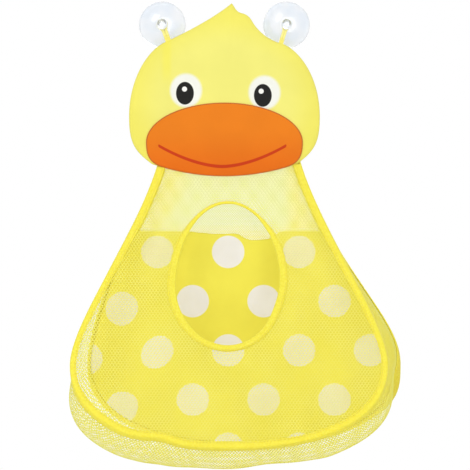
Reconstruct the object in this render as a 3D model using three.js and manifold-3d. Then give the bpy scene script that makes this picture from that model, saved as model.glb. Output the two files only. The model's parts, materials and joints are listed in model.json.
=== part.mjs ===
import * as THREE from 'three';
import Module from 'manifold-3d';

// Duck-shaped hanging net bag for bath toys. Millimetres, +Z up, the wall is the plane Y = 0,
// the front faces -Y. The origin lies on the wall, midway between the two suction cups.

// Fits and stock thicknesses
const CLEAR = 0.3;
const PATCH_CLEAR = 0.4;
const FABRIC_T = 0.9;
const NET_T = 0.8;
const TAPE_T = 1.0;

// Suction cups
const CUP_SPACING = 120;
const CUP_R = 22.5;
const CUP_RIM_W = 3.5;
const CUP_EDGE_T = 0.8;
const CUP_DOME_H = 8.7;
const CUP_HOLLOW_H = 5.6;
const CUP_NECK_R = 2.4;
const CUP_SHOULDER_R = 4.2;
const KNOB_R = 5.25;
const KNOB_H = 6;

// Elastic hanging loops
const LOOP_TAPE_W = 4.2;
const LOOP_TAPE_T = 2.0;
const LOOP_ROOT_W = 5;
const LOOP_LEAN = 4.5;

// Head: outline of the two panels, from the tuft down to the chin
const TUFT_TIP = [7, 20.3];
const TUFT_DIP = [12.5, 10.5];
const TUFT_LOBE = [22.5, 9];
const TUFT_SLOPE = [-14, 3];
const SHOULDER_LEFT = [-57, -17];
const SHOULDER_RIGHT = [57, -19];
const CHEEK_X = 92;
const CHEEK_Z = -89;
const CHEEK_TOP_PULL = 36;
const CHEEK_LOW_PULL = 26;
const CHIN_Z = -146.6;
const CHIN_CORNER_X = 70;
const CHIN_RISE = 11.8;
const SHOULDER_SLOPE = 0.45;
const JAW_SLOPE = 0.75;
const HEAD_CENTRE_Z = -80;
const HEAD_LIP = 1.6;
const HEAD_CROWN = 6.5;
const PADDING_INSET = 0.04;

// Beak patch
const BEAK_X = 75.4;
const BEAK_MID_Z = -114;
const BEAK_TOP_H = 37.8;
const BEAK_CORNER_X = 58;
const BEAK_HEM = 0.4;

// Bag: seam outline as half widths from its own middle line
const BAG_X = 4.4;
const NECK_HALF_W = 68;
const HIP_HALF_W = 149.5;
const HIP_Z = -327;
const FLANK_LOW_PULL = 39;
const FLANK_TOP_PULL = [20, 68];
const BOTTOM_Z = -403.5;
const BOTTOM_PULL = 83;
const HIP_PULL = 53;
const NECK_DEPTH = 1.5;
const BELLY_DEPTH = 88;
const NET_CROWN = 9;
const BELLY_SAG = 22;
const CORNER_BULGE = 26.5;
const SIDE_BULGE = 4;
const CORNER_FULL = 0.9;
const SAG_START = 0.96;
const BACK_LEAN = 16;
const LEAN_RELIEF = 0.75;
const NECK_GAP = 0.5;
const BINDING_GAP = 1.5;
const NET_SETBACK = 1.0;

// Coarse meshes of the front net, with a plain strip along its tapes
const NET_GAPS_ACROSS = 12;
const NET_CORD_W = 5;
const NET_STRIP_W = 2;

// Hand opening in the front net
const OPENING_HALF_W = 49.5;
const OPENING_Z = -247;
const OPENING_RISE = 72;
const OPENING_DROP = 61;

// Binding tapes
const MOUTH_TAPE_W = 5.4;
const FRONT_TAPE_W = 4.8;
const SIDE_TAPE_W = 4.6;
const BACK_TAPE_W = 4.8;
const SIDE_TAPE_SHARE = 0.2;

// Back panel: dotted cloth up to this height, net above it
const DOT_PANEL_TOP_Z = -203;

const wasm = await Module();
wasm.setup();

const part = new THREE.Group();
part.name = 'bath_toy_bag';

const vec = (x, y, z) => new THREE.Vector3(x, y, z);
const flat = ([x, z]) => new THREE.Vector2(x, z);

function place(name, geometry, colour, roughness) {
  const material = new THREE.MeshStandardMaterial({ color: colour, roughness, metalness: 0 });
  const mesh = new THREE.Mesh(geometry, material);
  mesh.name = name;
  part.add(mesh);
  return mesh;
}

// Closed body from points and triangles, turned so that its faces look outwards
function closedBody(points, triangles) {
  let volume = 0;
  for (const [a, b, c] of triangles) {
    volume += points[a].dot(points[b].clone().cross(points[c]));
  }
  const faces = volume < 0 ? triangles.map(([a, b, c]) => [a, c, b]) : triangles;
  const coordinates = points.flatMap((p) => p.toArray());
  const geometry = new THREE.BufferGeometry();
  geometry.setAttribute('position', new THREE.Float32BufferAttribute(coordinates, 3));
  geometry.setIndex(faces.flat());
  geometry.computeVertexNormals();
  return geometry;
}

// Band between an inner and an outer skin, one station after the other along a seam
function bandBody(inner, outer, closed) {
  const width = inner[0].length;
  const around = 2 * width;
  const points = [];
  inner.forEach((row, i) => {
    points.push(...row, ...[...outer[i]].reverse());
  });
  const triangles = [];
  const quad = (a, b, c, d) => triangles.push([a, b, c], [a, c, d]);
  const stations = inner.length;
  const spans = closed ? stations : stations - 1;
  for (let i = 0; i < spans; i += 1) {
    const here = i * around;
    const next = ((i + 1) % stations) * around;
    for (let k = 0; k < around; k += 1) {
      const l = (k + 1) % around;
      quad(here + k, here + l, next + l, next + k);
    }
  }
  if (!closed) {
    const last = (stations - 1) * around;
    for (let k = 0; k < width - 1; k += 1) {
      const far = around - 1 - k;
      quad(k, far, far - 1, k + 1);
      quad(last + k, last + k + 1, last + far - 1, last + far);
    }
  }
  return closedBody(points, triangles);
}

// Revolve-like body whose rings are scaled copies of an outline: profile runs from the middle
// of one face over the rim to the middle of the other, as pairs of share and depth
function ringBody(outline, centre, profile, lift) {
  const points = [];
  const rings = profile.map(([share, depth]) => {
    const ring = share === 0 ? [centre] : outline;
    return ring.map((p) => {
      const at = flat(centre.toArray()).lerp(p, share);
      points.push(vec(at.x, depth + lift(at), at.y));
      return points.length - 1;
    });
  });
  const triangles = [];
  const n = outline.length;
  for (let k = 0; k + 1 < rings.length; k += 1) {
    const a = rings[k];
    const b = rings[k + 1];
    for (let i = 0; i < n; i += 1) {
      const j = (i + 1) % n;
      if (a.length > 1) {
        triangles.push([a[i], b[i % b.length], a[j]]);
      }
      if (b.length > 1) {
        triangles.push([a[j % a.length], b[i], b[j]]);
      }
    }
  }
  return closedBody(points, triangles);
}

// Flat sheet: outline in X and Z, rear face at backY, thickness towards the front
function sheetBody(shape, backY, thickness, divisions) {
  const settings = { depth: thickness, bevelEnabled: false, curveSegments: divisions };
  const geometry = new THREE.ExtrudeGeometry(shape, settings);
  geometry.rotateX(Math.PI / 2);
  geometry.translate(0, backY, 0);
  return geometry;
}

function toManifold(geometry) {
  const source = geometry.index ? geometry.toNonIndexed() : geometry;
  const position = source.attributes.position;
  const known = new Map();
  const vertices = [];
  const triangles = [];
  for (let i = 0; i < position.count; i += 1) {
    const p = [position.getX(i), position.getY(i), position.getZ(i)];
    const key = p.map((value) => value.toFixed(5)).join(',');
    if (!known.has(key)) {
      known.set(key, vertices.length / 3);
      vertices.push(...p);
    }
    triangles.push(known.get(key));
  }
  const mesh = new wasm.Mesh({
    numProp: 3,
    vertProperties: new Float32Array(vertices),
    triVerts: new Uint32Array(triangles),
  });
  return new wasm.Manifold(mesh);
}

function fromManifold(manifold) {
  const mesh = manifold.getMesh();
  const geometry = new THREE.BufferGeometry();
  geometry.setAttribute('position', new THREE.Float32BufferAttribute(mesh.vertProperties, 3));
  geometry.setIndex([...mesh.triVerts]);
  geometry.computeVertexNormals();
  return geometry;
}

// Depths: the tape of the loops runs in the middle of the cup necks, and the head hangs below it
const neckLength = LOOP_TAPE_W + 2 * CLEAR;
const seamY = -(CUP_DOME_H + neckLength / 2);
const headBackY = seamY + CLEAR / 2 + FABRIC_T;
const headRimY = seamY - CLEAR / 2;
const bagBackY = seamY + NECK_DEPTH / 2;

// Head outline
const chinCornerZ = CHIN_Z + CHIN_RISE;
const chinCurve = CHIN_RISE / CHIN_CORNER_X ** 2;
const chinZ = (x) => CHIN_Z + chinCurve * x * x;
const headShape = new THREE.Shape();
headShape.moveTo(...TUFT_TIP);
headShape.quadraticCurveTo(...TUFT_SLOPE, ...SHOULDER_LEFT);
const shoulderReach = (CHEEK_X + SHOULDER_LEFT[0]) / 2;
headShape.bezierCurveTo(
  SHOULDER_LEFT[0] - shoulderReach, SHOULDER_LEFT[1] - SHOULDER_SLOPE * shoulderReach,
  -CHEEK_X, CHEEK_Z + CHEEK_TOP_PULL, -CHEEK_X, CHEEK_Z);
const cornerReach = (CHEEK_X - CHIN_CORNER_X) * 0.75;
const jawZ = chinCornerZ + JAW_SLOPE * cornerReach;
headShape.bezierCurveTo(
  -CHEEK_X, CHEEK_Z - CHEEK_LOW_PULL,
  -CHIN_CORNER_X - cornerReach, jawZ, -CHIN_CORNER_X, chinCornerZ);
headShape.quadraticCurveTo(0, CHIN_Z - CHIN_RISE, CHIN_CORNER_X, chinCornerZ);
headShape.bezierCurveTo(
  CHIN_CORNER_X + cornerReach, jawZ,
  CHEEK_X, CHEEK_Z - CHEEK_LOW_PULL, CHEEK_X, CHEEK_Z);
const rightReach = (CHEEK_X - SHOULDER_RIGHT[0]) / 2;
headShape.bezierCurveTo(
  CHEEK_X, CHEEK_Z + CHEEK_TOP_PULL,
  SHOULDER_RIGHT[0] + rightReach, SHOULDER_RIGHT[1] - SHOULDER_SLOPE * rightReach, ...SHOULDER_RIGHT);
const lobeReach = (SHOULDER_RIGHT[0] - TUFT_LOBE[0]) / 4;
headShape.bezierCurveTo(
  SHOULDER_RIGHT[0] - 1.7 * lobeReach, SHOULDER_RIGHT[1] + 0.4 * lobeReach,
  TUFT_LOBE[0] + lobeReach, TUFT_LOBE[1] - 1.8 * lobeReach, ...TUFT_LOBE);
headShape.quadraticCurveTo(...TUFT_DIP, ...TUFT_TIP);
const outlineSteps = 8;
const headOutline = headShape.getPoints(outlineSteps).slice(0, -1);
const headCentre = flat([0, HEAD_CENTRE_Z]);

// Share of the way from a centre to the straight sides of an outline round it
function shareOf(outline, centre, at) {
  const d = at.clone().sub(centre);
  let share = 0;
  outline.forEach((p, i) => {
    const a = p.clone().sub(centre);
    const b = outline[(i + 1) % outline.length].clone().sub(centre);
    const span = a.cross(b);
    const u = d.cross(b) / span;
    const v = a.cross(d) / span;
    if (u >= -1e-9 && v >= -1e-9) {
      share = Math.max(share, u + v);
    }
  });
  return share;
}

// Height of the head's upper rim above a given X
function headTopZ(x) {
  let top = -Infinity;
  headOutline.forEach((p, i) => {
    const q = headOutline[(i + 1) % headOutline.length];
    if ((p.x - x) * (q.x - x) <= 0 && p.x !== q.x) {
      top = Math.max(top, p.y + ((q.y - p.y) * (x - p.x)) / (q.x - p.x));
    }
  });
  return top;
}

// Head: crowned front panel with a turned-back lip, flat back panel, wadding between them
const crownShares = [0, 0.4, 0.7, 0.88, 1];
const crownY = (share) => headRimY - HEAD_LIP - HEAD_CROWN * (1 - share ** 3);
function crownFacetY(share) {
  const k = Math.max(1, crownShares.findIndex((s) => s >= Math.min(share, 1)));
  const a = crownShares[k - 1];
  const b = crownShares[k];
  return crownY(a) + ((crownY(b) - crownY(a)) * (share - a)) / (b - a);
}
const lipShare = 1 - (1.5 * FABRIC_T) / CHIN_CORNER_X;
const innerShares = [...crownShares.slice(0, -1), lipShare].reverse();
const frontProfile = [
  ...crownShares.map((s) => [s, crownFacetY(s)]),
  [1, headRimY],
  [lipShare, headRimY],
  ...innerShares.map((s) => [s, crownFacetY(s) + FABRIC_T]),
];
const level = () => 0;
place('head_front_panel', ringBody(headOutline, headCentre, frontProfile, level), 0xf5ef7d, 0.85);
place('head_back_panel', sheetBody(headShape, headBackY, FABRIC_T, outlineSteps), 0xf2ec78, 0.85);

const padEdge = lipShare - PADDING_INSET;
const padShares = [...crownShares.filter((s) => s < padEdge), padEdge];
const padProfile = [
  ...padShares.map((s) => [s, crownFacetY(s) + FABRIC_T + CLEAR]),
  [padEdge, headRimY],
  [0, headRimY],
];
place('head_padding', ringBody(headOutline, headCentre, padProfile, level), 0xf4f4ee, 1);

// Beak: one patch sewn on the front panel, its lower edge along the chin
const beakLowZ = (x) => chinZ(x) + BEAK_HEM;
const beakShape = new THREE.Shape();
beakShape.moveTo(BEAK_X, BEAK_MID_Z);
beakShape.absellipse(0, BEAK_MID_Z, BEAK_X, BEAK_TOP_H, 0, Math.PI, false, 0);
const beakCornerZ = beakLowZ(BEAK_CORNER_X);
const beakTurn = BEAK_X - BEAK_CORNER_X;
const beakSlope = 2 * chinCurve * BEAK_CORNER_X;
const beakBendX = BEAK_CORNER_X + 0.75 * beakTurn;
const beakBendZ = beakCornerZ + 0.75 * beakTurn * beakSlope;
const beakDropZ = BEAK_MID_Z + 0.6 * (beakCornerZ - BEAK_MID_Z);
beakShape.bezierCurveTo(-BEAK_X, beakDropZ, -beakBendX, beakBendZ, -BEAK_CORNER_X, beakCornerZ);
beakShape.quadraticCurveTo(0, 2 * beakLowZ(0) - beakCornerZ, BEAK_CORNER_X, beakCornerZ);
beakShape.bezierCurveTo(beakBendX, beakBendZ, BEAK_X, beakDropZ, BEAK_X, BEAK_MID_Z);
const beakOutline = beakShape.getPoints(8).slice(1);
const beakCentre = flat([0, BEAK_MID_Z]);
const beakShares = [0, 0.3, 0.55, 0.78, 1];
const beakProfile = [
  ...beakShares.map((s) => [s, -PATCH_CLEAR - FABRIC_T]),
  ...[...beakShares].reverse().map((s) => [s, -PATCH_CLEAR]),
];
const onHead = (at) => crownFacetY(shareOf(headOutline, headCentre, at));
place('beak_patch', ringBody(beakOutline, beakCentre, beakProfile, onHead), 0xee8322, 0.8);

// Bag seam: flank and bottom of one side, running from the neck to the middle of the bottom
function halfSeam(side) {
  const neckZ = chinZ(side * NECK_HALF_W + BAG_X) - BINDING_GAP;
  const flank = new THREE.CubicBezierCurve(
    flat([NECK_HALF_W, neckZ]),
    flat([NECK_HALF_W + FLANK_TOP_PULL[0], neckZ - FLANK_TOP_PULL[1]]),
    flat([HIP_HALF_W, HIP_Z + FLANK_LOW_PULL]),
    flat([HIP_HALF_W, HIP_Z]));
  const under = new THREE.CubicBezierCurve(
    flat([HIP_HALF_W, HIP_Z]),
    flat([HIP_HALF_W, HIP_Z - HIP_PULL]),
    flat([BOTTOM_PULL, BOTTOM_Z]),
    flat([0, BOTTOM_Z]));
  const points = [...flank.getPoints(11), ...under.getPoints(14).slice(1)];
  return points.map((p) => flat([side * p.x + BAG_X, p.y]));
}
const seamLine = [...halfSeam(-1), ...halfSeam(1).reverse().slice(1)];

const neckLeft = BAG_X - NECK_HALF_W;
const neckRight = BAG_X + NECK_HALF_W;
const neckEdgeZ = (x) => chinZ(THREE.MathUtils.clamp(x, neckLeft, neckRight)) - NECK_GAP;
function frontY(x, z) {
  const fall = Math.max(0, neckEdgeZ(x) - z) / (neckEdgeZ(x) - BOTTOM_Z);
  return bagBackY - NECK_DEPTH - (BELLY_DEPTH - NECK_DEPTH) * fall;
}
const { smoothstep } = THREE.MathUtils;
const leanAt = (z) => BACK_LEAN * smoothstep(DOT_PANEL_TOP_Z - z, 0, DOT_PANEL_TOP_Z - HIP_Z);
const frontSeam = seamLine.map((p) => vec(p.x, frontY(p.x, p.y), p.y));
const backSeam = seamLine.map((p) => vec(p.x + leanAt(p.y), bagBackY, p.y));

// Front net: rings between the hand opening and the outer edge, pushed out a little by the load
const mouthCentre = flat([BAG_X, OPENING_Z]);
function mouthPoint(towards) {
  const d = towards.clone().sub(mouthCentre);
  const height = d.y > 0 ? OPENING_RISE : OPENING_DROP;
  const reach = 1 / Math.hypot(d.x / OPENING_HALF_W, d.y / height);
  return mouthCentre.clone().add(d.multiplyScalar(reach));
}
const neckSteps = 10;
const neckEdge = [];
for (let i = 1; i < neckSteps; i += 1) {
  const x = BAG_X + NECK_HALF_W * (1 - (2 * i) / neckSteps);
  neckEdge.push(flat([x, neckEdgeZ(x)]));
}
const moved = (p, length) => p.clone().add(p.clone().sub(mouthCentre).setLength(length));
const netEdge = [...seamLine.map((p) => moved(p, -NET_SETBACK)), ...neckEdge];
const netShares = [0, 0.12, 0.4, 0.7, 0.93, 1];
const netRows = netEdge.map((edge) => netShares.map((s) => {
  const at = mouthPoint(edge).lerp(edge, s);
  return vec(at.x, frontY(at.x, at.y) - NET_CROWN * (1 - s * s), at.y);
}));

// Unit normal of a net row towards the front, square to the row's own direction
function rowNormal(along, outward) {
  return outward.clone().addScaledVector(along, -outward.dot(along)).normalize();
}
// Direction of a run of points at point k, from the point before it to the point after it
function heading(run, k) {
  const after = run[Math.min(k + 1, run.length - 1)];
  const before = run[Math.max(k - 1, 0)];
  return after.clone().sub(before).normalize();
}
const forward = vec(0, -1, 0);
const offsetRows = (rows, distance) => rows.map((row) => row.map((p, k) => (
  p.clone().addScaledVector(rowNormal(heading(row, k), forward), distance))));
const netHalf = NET_T / 2;
const plainNet = bandBody(offsetRows(netRows, -netHalf), offsetRows(netRows, netHalf), true);

// Meshes: a honeycomb of gaps cut through the panel, kept clear of the tapes
const meshOuter = netEdge.map((p) => moved(p, -FRONT_TAPE_W - NET_STRIP_W));
const meshInner = netEdge.map((p) => moved(mouthPoint(p), MOUTH_TAPE_W + NET_STRIP_W));
const meshField = new THREE.Shape(meshOuter);
meshField.holes.push(new THREE.Path(meshInner));
const inField = (at) => (
  shareOf(meshOuter, mouthCentre, at) < 1 && shareOf(meshInner, mouthCentre, at) > 1);
const gapPitch = (2 * HIP_HALF_W) / NET_GAPS_ACROSS;
const gapRow = (gapPitch * Math.sqrt(3)) / 2;
const gapReach = (gapPitch - NET_CORD_W) / Math.sqrt(3);
const through = (shape) => toManifold(sheetBody(shape, bagBackY, 2 * BELLY_DEPTH, 1));
function meshGap(at) {
  const corners = [0, 1, 2, 3, 4, 5].map((k) => {
    const turn = (k * Math.PI) / 3;
    return at.clone().add(flat([gapReach * Math.sin(turn), gapReach * Math.cos(turn)]));
  });
  return through(new THREE.Shape(corners));
}
const meshGaps = [];
const gapRows = Math.floor((CHIN_Z - BOTTOM_Z) / gapRow);
for (let row = 0; row <= gapRows; row += 1) {
  for (let k = -NET_GAPS_ACROSS; k <= NET_GAPS_ACROSS; k += 1) {
    const at = flat([BAG_X + (k + (row % 2) / 2) * gapPitch, BOTTOM_Z + row * gapRow]);
    if (inField(at)) {
      meshGaps.push(meshGap(at));
    }
  }
}
const openings = wasm.Manifold.union(meshGaps).intersect(through(meshField));
place('front_net', fromManifold(toManifold(plainNet).subtract(openings)), 0xf2e65e, 0.9);

// Tape folded round the edge of the hand opening
const slotHalf = netHalf + CLEAR;
const foldHalf = slotHalf + TAPE_T;
const mouthInner = [];
const mouthOuter = [];
netRows.forEach((row) => {
  const into = row[1].clone().sub(row[0]).normalize();
  const normal = rowNormal(into, forward);
  const at = (a, n) => row[0].clone().addScaledVector(into, a).addScaledVector(normal, n);
  const back = -CLEAR;
  const fold = back - TAPE_T;
  mouthInner.push([
    at(MOUTH_TAPE_W, slotHalf), at(back, slotHalf),
    at(back, -slotHalf), at(MOUTH_TAPE_W, -slotHalf)]);
  mouthOuter.push([
    at(MOUTH_TAPE_W, foldHalf), at(fold, slotHalf),
    at(fold, -slotHalf), at(MOUTH_TAPE_W, -foldHalf)]);
});
place('opening_binding', bandBody(mouthInner, mouthOuter, true), 0xfbec50, 0.75);

// Gusset net: bulges between the two seams, most at the lower corners of the loaded belly.
// The swell follows how far the seam's outward direction points down, from 0 at the hips to 1.
const gussetShares = [0, 0.08, 0.3, 0.5, 0.7, 0.92, 1];
const tangents = seamLine.map((p, i) => heading(seamLine, i));
const swell = (down) => SIDE_BULGE
  + (CORNER_BULGE - SIDE_BULGE) * smoothstep(down, 0, CORNER_FULL)
  - (CORNER_BULGE - BELLY_SAG) * smoothstep(down, SAG_START, 1);
const gussetRows = frontSeam.map((front, i) => {
  const out = vec(tangents[i].y, 0, -tangents[i].x);
  const depth = (bagBackY - front.y) / BELLY_DEPTH;
  const bulge = depth * swell(-out.z) + LEAN_RELIEF * leanAt(front.z) * out.x * Math.min(0, out.z);
  return gussetShares.map((s) => {
    const p = front.clone().lerp(backSeam[i], s);
    return p.addScaledVector(out, bulge * Math.sin(Math.PI * s));
  });
});
const gussetOut = gussetRows.map((row, i) => row.map((p, k) => (
  rowNormal(heading(row, k), vec(tangents[i].y, 0, -tangents[i].x)))));
const gussetSkin = (distance) => gussetRows.map((row, i) => row.map((p, k) => (
  p.clone().addScaledVector(gussetOut[i][k], distance))));
place('gusset_net', bandBody(gussetSkin(-netHalf), gussetSkin(netHalf), false), 0xf0e256, 0.9);

// Tape over a corner seam: one leg lies on the panel, the other on the gusset
function cornerTape(seam, intoPanel, panelOut, intoGusset, panelLeg, gussetLegs) {
  const near = netHalf + CLEAR;
  const far = near + TAPE_T;
  const inner = [];
  const outer = [];
  seam.forEach((p, i) => {
    const run = heading(seam, i);
    const square = (direction) => rowNormal(run, direction);
    const a = square(intoPanel[i]);
    const b = square(intoGusset[i]);
    const na = rowNormal(a, square(panelOut));
    const nb = rowNormal(b, square(a.clone().negate()));
    const middle = na.clone().add(nb).normalize();
    const corner = (d) => middle.clone().multiplyScalar(d / middle.dot(na));
    const at = (direction, length, normal, d) => (
      p.clone().addScaledVector(direction, length).addScaledVector(normal, d));
    const leg = gussetLegs[i];
    const turn = p.clone().add(corner(near));
    inner.push([at(a, panelLeg, na, near), turn, turn, turn, at(b, leg, nb, near)]);
    outer.push([
      at(a, panelLeg, na, far), at(a, 0, na, far), at(middle, 1.15 * far, middle, 0),
      at(b, 0, nb, far), at(b, leg, nb, far)]);
  });
  return { inner, outer };
}

const seamCount = seamLine.length;
const gussetDepth = (i) => bagBackY - frontSeam[i].y;
const sideLegs = seamLine.map((p, i) => Math.min(SIDE_TAPE_W, SIDE_TAPE_SHARE * gussetDepth(i)));
const intoFrom = (row, edge, next) => row.at(next).clone().sub(row.at(edge));
const intoFront = netRows.slice(0, seamCount).map((row) => intoFrom(row, -1, -2));
const intoGussetFront = gussetRows.map((row) => intoFrom(row, 0, 1));
const frontTape = cornerTape(frontSeam, intoFront, forward, intoGussetFront, FRONT_TAPE_W, sideLegs);
place('front_seam_binding', bandBody(frontTape.inner, frontTape.outer, false), 0xfdec3c, 0.75);

const intoBack = backSeam.map((p, i) => vec(-tangents[i].y, 0, tangents[i].x));
const intoGussetBack = gussetRows.map((row) => intoFrom(row, -1, -2));
const rearward = vec(0, 1, 0);
const backTape = cornerTape(backSeam, intoBack, rearward, intoGussetBack, BACK_TAPE_W, sideLegs);
place('back_seam_binding', bandBody(backTape.inner, backTape.outer, false), 0xfdec3c, 0.75);

// Back wall: dotted cloth below, net above it up to the neck
const backEdge = backSeam.map((p, i) => flat([p.x, p.z]).add(
  flat([intoBack[i].x, intoBack[i].z]).multiplyScalar(NET_SETBACK)));
function crossing(points, z) {
  const i = points.findIndex((p, k) => k > 0 && (points[k - 1].y - z) * (p.y - z) <= 0);
  const a = points[i - 1];
  const b = points[i];
  return a.clone().lerp(b, (z - a.y) / (b.y - a.y));
}
const backEdgeReversed = [...backEdge].reverse();
const clothTop = DOT_PANEL_TOP_Z - CLEAR / 2;
const netBottom = DOT_PANEL_TOP_Z + CLEAR / 2;
const clothShape = new THREE.Shape([
  crossing(backEdge, clothTop),
  ...backEdge.filter((p) => p.y < clothTop),
  crossing(backEdgeReversed, clothTop),
]);
place('back_dot_panel', sheetBody(clothShape, bagBackY + FABRIC_T / 2, FABRIC_T, 1), 0xf0e042, 0.85);
const upperNetShape = new THREE.Shape([
  ...neckEdge,
  ...backEdge.filter((p, i) => p.y > netBottom && i < seamCount / 2),
  crossing(backEdge, netBottom),
  crossing(backEdgeReversed, netBottom),
  ...backEdgeReversed.filter((p, i) => p.y > netBottom && i < seamCount / 2).reverse(),
]);
place('back_top_net', sheetBody(upperNetShape, bagBackY + netHalf, NET_T, 1), 0xf6f0a0, 0.9);

// Suction cup: bell with a flat sealing ring, a neck for the loop and a rounded knob
function cupProfile() {
  const hollow = new THREE.CubicBezierCurve(
    flat([0, CUP_HOLLOW_H]),
    flat([0.55 * CUP_R, CUP_HOLLOW_H]),
    flat([0.72 * CUP_R, 0.3 * CUP_HOLLOW_H]),
    flat([CUP_R - CUP_RIM_W, 0]));
  const bell = new THREE.CubicBezierCurve(
    flat([CUP_R, CUP_EDGE_T]),
    flat([0.8 * CUP_R, CUP_EDGE_T + 0.18 * CUP_DOME_H]),
    flat([0.6 * CUP_R, CUP_DOME_H]),
    flat([CUP_SHOULDER_R, CUP_DOME_H]));
  const knobBase = CUP_DOME_H + neckLength;
  const knobTop = knobBase + KNOB_H;
  const cap = new THREE.CubicBezierCurve(
    flat([KNOB_R, knobBase + 0.4 * KNOB_H]),
    flat([KNOB_R, knobBase + 0.8 * KNOB_H]),
    flat([0.6 * KNOB_R, knobTop]),
    flat([0, knobTop]));
  return [
    ...hollow.getPoints(5),
    flat([CUP_R, 0]),
    ...bell.getPoints(5),
    flat([CUP_NECK_R, CUP_DOME_H]),
    flat([CUP_NECK_R, knobBase]),
    flat([0.85 * KNOB_R, knobBase]),
    ...cap.getPoints(4),
  ];
}

function placeCup(name, x) {
  const geometry = new THREE.LatheGeometry(cupProfile(), 28);
  geometry.rotateX(Math.PI);
  geometry.translate(x, 0, 0);
  place(name, closedLathe(geometry), 0xe9eef2, 0.15);
}

// Lathe points merged into one closed skin
function closedLathe(geometry) {
  return fromManifold(toManifold(dropSlivers(geometry)));
}

// Triangles with two corners on the axis have no area and are left out
function dropSlivers(geometry) {
  const source = geometry.toNonIndexed();
  const position = source.attributes.position;
  const kept = [];
  for (let i = 0; i < position.count; i += 3) {
    const [a, b, c] = [0, 1, 2].map((k) => vec(0, 0, 0).fromBufferAttribute(position, i + k));
    const area = b.clone().sub(a).cross(c.clone().sub(a)).length();
    if (area > 1e-6) {
      kept.push(...a.toArray(), ...b.toArray(), ...c.toArray());
    }
  }
  const clean = new THREE.BufferGeometry();
  clean.setAttribute('position', new THREE.Float32BufferAttribute(kept, 3));
  return clean;
}

// Hanging loop: a band round the cup neck whose two legs run together into the head's seam.
// The side view ends in a half round about the line on which the loop swings.
function placeLoop(name, cupX, rootX) {
  const rootHalf = LOOP_ROOT_W / 2;
  const tapeHalf = LOOP_TAPE_W / 2;
  const footHalf = rootHalf + LOOP_TAPE_T / 2;
  const rim = Math.max(headTopZ(rootX - footHalf), headTopZ(rootX), headTopZ(rootX + footHalf));
  const rootZ = rim + CLEAR + tapeHalf;
  const reach = Math.hypot(rootX - cupX, rootZ);
  const length = reach + 2 * tapeHalf;
  const hole = CUP_NECK_R + CLEAR;
  const outside = hole + LOOP_TAPE_T;
  const legTilt = Math.asin((outside - rootHalf) / length);
  const band = new THREE.Shape();
  band.absarc(0, 0, outside, -legTilt, Math.PI + legTilt, false);
  band.lineTo(-rootHalf, -length);
  band.lineTo(rootHalf, -length);
  const joinZ = reach - LOOP_TAPE_T;
  const holeTilt = Math.asin(hole / joinZ);
  const eye = new THREE.Path();
  eye.absarc(0, 0, hole, -holeTilt, Math.PI + holeTilt, false);
  eye.lineTo(0, -joinZ);
  band.holes.push(eye);
  const flatBand = sheetBody(band, tapeHalf, LOOP_TAPE_W, 9);
  flatBand.rotateY(-Math.atan2(rootX - cupX, -rootZ));
  flatBand.translate(cupX, seamY, 0);

  const side = new THREE.Shape();
  side.moveTo(tapeHalf, outside);
  side.lineTo(-tapeHalf, outside);
  side.lineTo(-tapeHalf, rootZ);
  side.absarc(0, rootZ, tapeHalf, Math.PI, 2 * Math.PI, false);
  const across = 4 * outside + 2 * Math.abs(rootX - cupX);
  const settings = { depth: across, bevelEnabled: false, curveSegments: 10 };
  const sideView = new THREE.ExtrudeGeometry(side, settings);
  sideView.rotateX(Math.PI / 2);
  sideView.rotateZ(Math.PI / 2);
  sideView.translate(cupX - across / 2, seamY, 0);
  place(name, fromManifold(toManifold(flatBand).intersect(toManifold(sideView))), 0xf8ee96, 0.8);
}

const cupX = CUP_SPACING / 2;
placeCup('left_suction_cup', -cupX);
placeCup('right_suction_cup', cupX);
placeLoop('left_hanging_loop', -cupX, LOOP_LEAN - cupX);
placeLoop('right_hanging_loop', cupX, cupX - LOOP_LEAN);

export default part;
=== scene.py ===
import bpy
import json
import math
import numpy as np
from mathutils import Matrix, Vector

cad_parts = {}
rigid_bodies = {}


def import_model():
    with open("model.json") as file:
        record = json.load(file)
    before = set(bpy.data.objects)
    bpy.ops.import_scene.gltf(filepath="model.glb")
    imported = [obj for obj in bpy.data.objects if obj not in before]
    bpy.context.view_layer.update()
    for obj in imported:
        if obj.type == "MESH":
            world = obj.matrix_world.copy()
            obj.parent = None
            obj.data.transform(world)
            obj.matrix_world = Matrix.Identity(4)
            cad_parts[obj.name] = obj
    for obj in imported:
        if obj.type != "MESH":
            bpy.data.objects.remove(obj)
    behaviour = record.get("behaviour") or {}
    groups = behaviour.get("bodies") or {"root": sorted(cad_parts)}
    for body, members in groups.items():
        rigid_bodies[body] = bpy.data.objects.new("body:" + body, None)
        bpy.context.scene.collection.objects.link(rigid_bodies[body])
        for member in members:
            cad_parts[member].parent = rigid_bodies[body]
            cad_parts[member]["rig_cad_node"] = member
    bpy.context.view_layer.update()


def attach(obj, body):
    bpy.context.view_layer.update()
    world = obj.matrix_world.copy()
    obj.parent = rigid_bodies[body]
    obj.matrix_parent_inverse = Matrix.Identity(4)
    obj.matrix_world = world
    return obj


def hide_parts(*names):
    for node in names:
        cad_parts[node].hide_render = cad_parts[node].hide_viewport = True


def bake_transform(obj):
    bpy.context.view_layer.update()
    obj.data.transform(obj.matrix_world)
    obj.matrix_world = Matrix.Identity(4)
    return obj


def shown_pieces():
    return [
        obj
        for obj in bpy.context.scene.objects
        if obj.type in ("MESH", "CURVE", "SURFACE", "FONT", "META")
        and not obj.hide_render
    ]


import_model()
scene = bpy.context.scene
MM = 0.001
FORWARD, BACKWARD = (0, -1, 0), (0, 1, 0)

# Curves, in millimetres


def quad(a, b, c, n=48):
    a, b, c = (np.array(p, float) for p in (a, b, c))
    t = np.linspace(0, 1, n, endpoint=False)[:, None]
    return (1 - t) ** 2 * a + 2 * t * (1 - t) * b + t * t * c


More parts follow.
